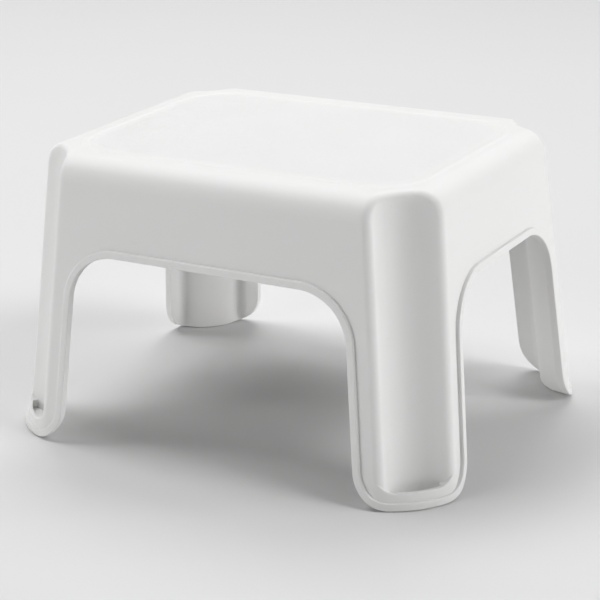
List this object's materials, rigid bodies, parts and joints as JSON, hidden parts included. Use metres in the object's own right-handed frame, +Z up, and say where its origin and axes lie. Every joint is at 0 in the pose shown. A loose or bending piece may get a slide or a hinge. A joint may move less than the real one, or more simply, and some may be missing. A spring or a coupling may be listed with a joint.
{
  "type": "step stool",
  "caption": "Low one-piece moulded plastic step stool with splayed fluted legs, arched sides and a bordered tread",
  "frame": {"origin": "middle of the footprint, on the floor", "axes": "+X along the long side, +Y from front to back, +Z up"},
  "size_m": [0.3986, 0.3246, 0.2352],
  "materials": {
    "polypropylene": "satin, fine grain on the tread",
    "pad_rubber": "matte"
  },
  "bodies": {
    "root": {"stool_body": "polypropylene", "foot_pad_front_left": "pad_rubber", "foot_pad_front_right": "pad_rubber", "foot_pad_back_left": "pad_rubber", "foot_pad_back_right": "pad_rubber"}
  },
  "joints": []
}
